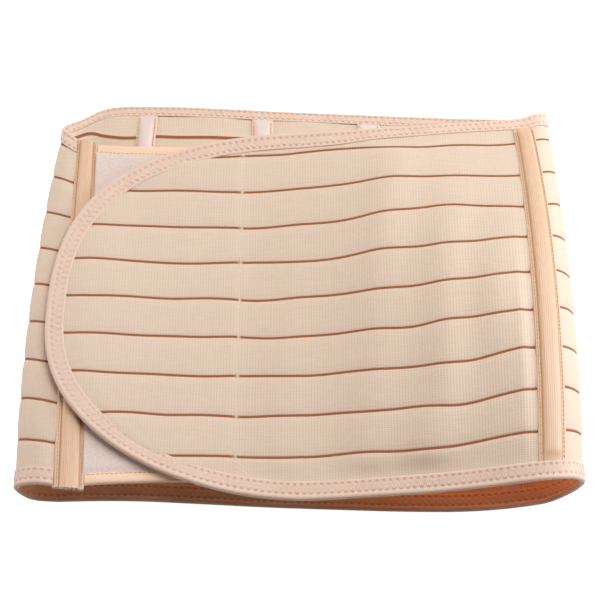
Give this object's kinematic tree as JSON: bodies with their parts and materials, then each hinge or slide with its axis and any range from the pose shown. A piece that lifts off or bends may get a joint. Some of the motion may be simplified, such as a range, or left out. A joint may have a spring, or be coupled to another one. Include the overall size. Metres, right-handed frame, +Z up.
{
  "type": "abdominal binder",
  "caption": "Wrap-round abdominal binder of ribbed woven elastic, fastened and lying flat, with a rounded front flap, stay casings and zigzag stitched edge tape.",
  "frame": {"origin": "on the table, under the middle of the bounding box of the lying binder", "axes": "+X across the body towards the side where the flap starts, +Y up the body towards the top hem, +Z up from the table towards the flap"},
  "size_m": [0.321, 0.2704, 0.0534],
  "materials": {
    "ribbed_elastic": "matte woven elastic with fine ribs across the body and brown lines",
    "edge_tape": "matte folded elastic tape, zigzag stitched",
    "plain_tape": "smooth folded tape, straight stitched",
    "satin_tape": "satin woven tape over a flat bone",
    "back_tape": "pale satin woven tape over a flat bone",
    "loop_pile": "fuzzy napped loop facing",
    "hook_tape": "stiff woven hook tape"
  },
  "bodies": {
    "root": {"flap_panel": "ribbed_elastic", "back_panel": "ribbed_elastic", "landing_panel": "ribbed_elastic", "flap_edge_tape": "edge_tape", "back_edge_tape_bottom": "edge_tape", "back_edge_tape_top": "edge_tape", "landing_edge_tape_bottom": "plain_tape", "landing_edge_tape_top": "plain_tape", "loop_facing": "loop_pile", "hook_tape": "hook_tape", "left_side_casing": "satin_tape", "right_side_casing": "satin_tape", "back_casing_1": "back_tape", "back_casing_2": "back_tape", "back_casing_3": "back_tape", "back_casing_4": "back_tape"}
  },
  "joints": []
}
